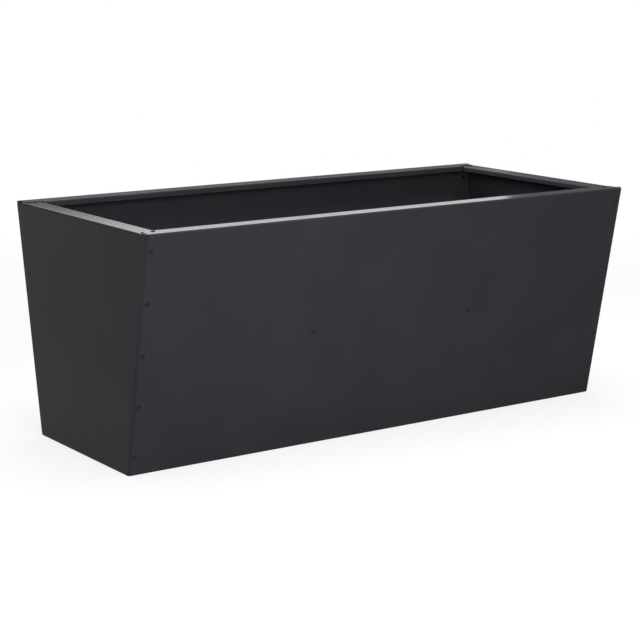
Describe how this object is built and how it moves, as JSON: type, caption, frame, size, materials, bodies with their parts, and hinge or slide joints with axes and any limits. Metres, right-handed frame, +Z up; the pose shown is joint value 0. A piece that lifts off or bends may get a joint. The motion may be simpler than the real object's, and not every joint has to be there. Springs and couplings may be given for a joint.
{
  "type": "raised garden bed",
  "caption": "Rectangular planter trough of folded sheet metal with leaning long walls, an inward rim, riveted corner seams, cross braces and a drained floor tray.",
  "frame": {"origin": "centre of the base, on the surface that the bed stands on", "axes": "+X along the length of the bed, the front long wall faces -Y, +Z is up"},
  "size_m": [1, 0.4488, 0.4014],
  "materials": {
    "wall_coat": "satin anthracite powder coat on folded steel sheet",
    "tray_coat": "satin anthracite powder coat, duller inside",
    "brace_coat": "satin anthracite powder coat, duller inside",
    "rivet_coat": "coated rivet, satin anthracite"
  },
  "bodies": {
    "root": {"front_panel": "wall_coat", "back_panel": "wall_coat", "left_end_panel": "wall_coat", "right_end_panel": "wall_coat", "floor_tray": "tray_coat", "left_cross_brace": "brace_coat", "right_cross_brace": "brace_coat", "front_left_seam_rivets": "rivet_coat", "front_right_seam_rivets": "rivet_coat", "back_left_seam_rivets": "rivet_coat", "back_right_seam_rivets": "rivet_coat", "front_brace_rivets": "rivet_coat", "back_brace_rivets": "rivet_coat", "rim_corner_rivets": "rivet_coat"}
  },
  "joints": []
}
